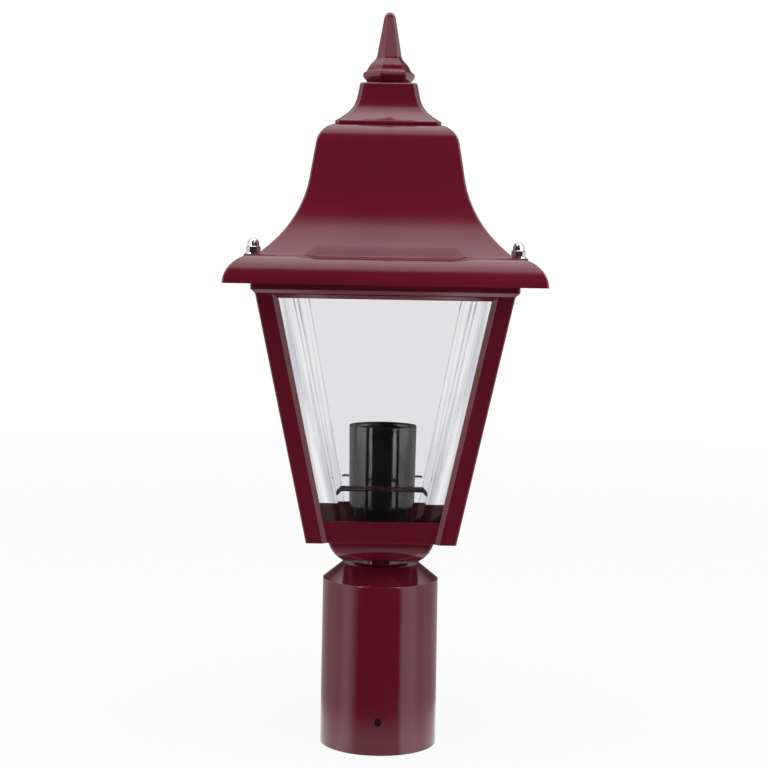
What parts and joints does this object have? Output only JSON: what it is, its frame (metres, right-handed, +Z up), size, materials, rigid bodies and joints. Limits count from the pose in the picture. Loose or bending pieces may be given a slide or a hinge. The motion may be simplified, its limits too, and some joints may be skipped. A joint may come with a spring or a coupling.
{
  "type": "post top lantern",
  "caption": "Square tapering glazed post top lantern with a bell-shaped roof, a finial and a round sleeve that slips over a post.",
  "frame": {"origin": "centre of the sleeve's foot, the lowest point", "axes": "+Z up along the post, the front pane with the grub screw below it faces -Y, +X to the right"},
  "size_m": [0.1662, 0.1662, 0.4048],
  "materials": {
    "burgundy_coat": "gloss powder coat",
    "clear_glass": "clear, bevelled edges",
    "painted_strip": "gloss paint",
    "stainless": "bright stainless",
    "black_steel": "black oxide",
    "zinc_steel": "zinc plated",
    "black_rubber": "matt",
    "black_bakelite": "moulded, gloss",
    "fibre_plate": "pressed insulating board",
    "white_ceramic": "glazed ceramic",
    "bright_brass": "bright"
  },
  "bodies": {
    "root": {"post_sleeve": "burgundy_coat", "base_bowl": "burgundy_coat", "frame_rim": "burgundy_coat", "base_tray": "burgundy_coat", "corner_bar_front_left": "burgundy_coat", "corner_bar_front_right": "burgundy_coat", "corner_bar_rear_left": "burgundy_coat", "corner_bar_rear_right": "burgundy_coat", "glass_front": "clear_glass", "glass_right": "clear_glass", "glass_rear": "clear_glass", "glass_left": "clear_glass", "glass_strip_front": "painted_strip", "glass_strip_rear": "painted_strip", "roof_stud_left": "stainless", "roof_stud_right": "stainless", "stem_tube": "zinc_steel", "stem_washer_lower": "zinc_steel", "stem_washer_upper": "zinc_steel", "stem_nut_lower": "zinc_steel", "stem_nut_upper": "zinc_steel", "holder_cover": "black_bakelite", "contact_plate": "fibre_plate", "terminal_block": "white_ceramic", "lamp_barrel": "bright_brass", "contact_spring_front": "zinc_steel", "contact_spring_rear": "zinc_steel", "terminal_left": "bright_brass", "terminal_right": "bright_brass", "terminal_screw_left": "zinc_steel", "terminal_screw_right": "zinc_steel", "earth_screw": "bright_brass", "earth_washer": "bright_brass"},
    "roof": {"roof_shell": "burgundy_coat", "roof_gasket": "black_rubber", "crown_cap": "burgundy_coat", "finial_rod": "zinc_steel", "rod_washer": "zinc_steel", "rod_nut": "zinc_steel", "stud_washer_left": "stainless", "stud_washer_right": "stainless"},
    "nut_left": {"dome_nut_left": "stainless"},
    "nut_right": {"dome_nut_right": "stainless"},
    "finial_screw": {"finial": "burgundy_coat"},
    "skirt": {"holder_skirt": "black_bakelite"},
    "contact_pin_front": {"contact_front": "bright_brass"},
    "contact_pin_rear": {"contact_rear": "bright_brass"},
    "grub_front": {"grub_screw_front": "black_steel"},
    "grub_right": {"grub_screw_right": "black_steel"},
    "grub_left": {"grub_screw_left": "black_steel"}
  },
  "joints": [
    {"name": "roof_lift", "type": "slide", "parent": "root", "child": "roof", "axis": [0, 0, 1], "range_m": [0, 0.06]},
    {"name": "dome_nut_left_turn", "type": "hinge", "parent": "roof", "child": "nut_left", "pos_m": [-0.0732, 0, 0.2768], "axis": [0, 0, 1], "continuous": true},
    {"name": "dome_nut_right_turn", "type": "hinge", "parent": "roof", "child": "nut_right", "pos_m": [0.0732, 0, 0.2768], "axis": [0, 0, 1], "continuous": true},
    {"name": "finial_turn", "type": "hinge", "parent": "roof", "child": "finial_screw", "pos_m": [0, 0, 0.38], "axis": [0, 0, 1], "continuous": true},
    {"name": "holder_skirt_turn", "type": "hinge", "parent": "root", "child": "skirt", "pos_m": [0, 0, 0.14], "axis": [0, 0, 1], "continuous": true},
    {"name": "contact_front_press", "type": "slide", "parent": "root", "child": "contact_pin_front", "axis": [0, 0, -1], "range_m": [0, 0.003], "stiffness_N_per_m": 800, "springref_m": -0.001, "deforming": ["contact_spring_front"]},
    {"name": "contact_rear_press", "type": "slide", "parent": "root", "child": "contact_pin_rear", "axis": [0, 0, -1], "range_m": [0, 0.003], "stiffness_N_per_m": 800, "springref_m": -0.001, "deforming": ["contact_spring_rear"]},
    {"name": "grub_front_turn", "type": "hinge", "parent": "root", "child": "grub_front", "pos_m": [0, -0.03, 0.0187], "axis": [0, -1, 0], "continuous": true},
    {"name": "grub_right_turn", "type": "hinge", "parent": "root", "child": "grub_right", "pos_m": [0.02598, 0.015, 0.0187], "axis": [0.866, 0.5, 0], "continuous": true},
    {"name": "grub_left_turn", "type": "hinge", "parent": "root", "child": "grub_left", "pos_m": [-0.02598, 0.015, 0.0187], "axis": [-0.866, 0.5, 0], "continuous": true}
  ]
}
